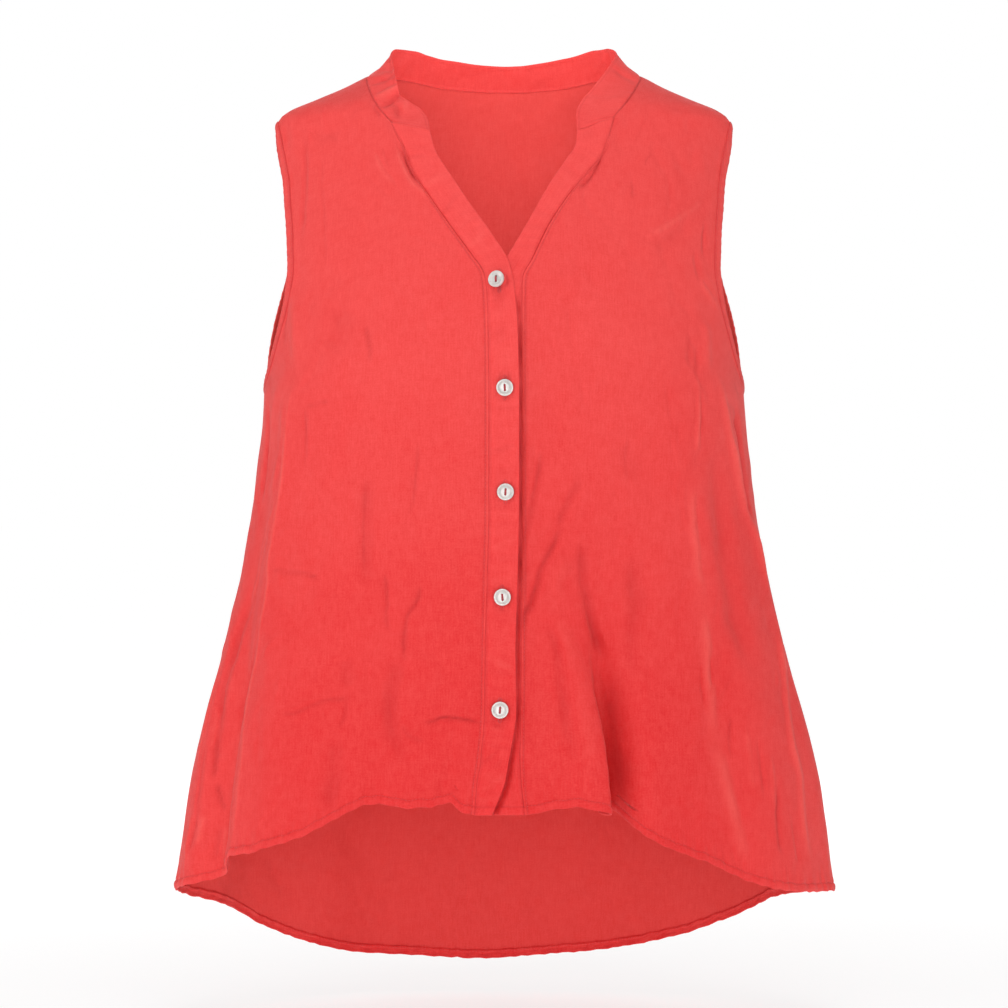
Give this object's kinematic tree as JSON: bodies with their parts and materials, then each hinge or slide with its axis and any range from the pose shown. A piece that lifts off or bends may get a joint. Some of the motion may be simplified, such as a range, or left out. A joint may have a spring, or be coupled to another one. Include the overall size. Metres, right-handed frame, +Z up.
{
  "type": "sleeveless button-up shirt",
  "caption": "Sleeveless button-up shirt with band collar, V neck, buttoned front band, flared body and high-low hem, filled out as if worn",
  "frame": {"origin": "midway between the shoulders, level with the points where the shoulder seams meet the neck", "axes": "+X towards the wearer's left, +Y towards the wearer's back, +Z up"},
  "size_m": [0.5802, 0.3345, 0.824],
  "materials": {
    "cloth": "coral red plain-woven cloth with a slight sheen",
    "shell": "pale grey-white shell, mother-of-pearl look"
  },
  "bodies": {
    "root": {"front_right": "cloth", "front_left": "cloth", "back": "cloth", "front_band_right": "cloth", "front_band_left": "cloth", "collar": "cloth", "armhole_binding_right": "cloth", "armhole_binding_left": "cloth", "button_1": "shell", "button_2": "shell", "button_3": "shell", "button_4": "shell", "button_5": "shell"}
  },
  "joints": []
}
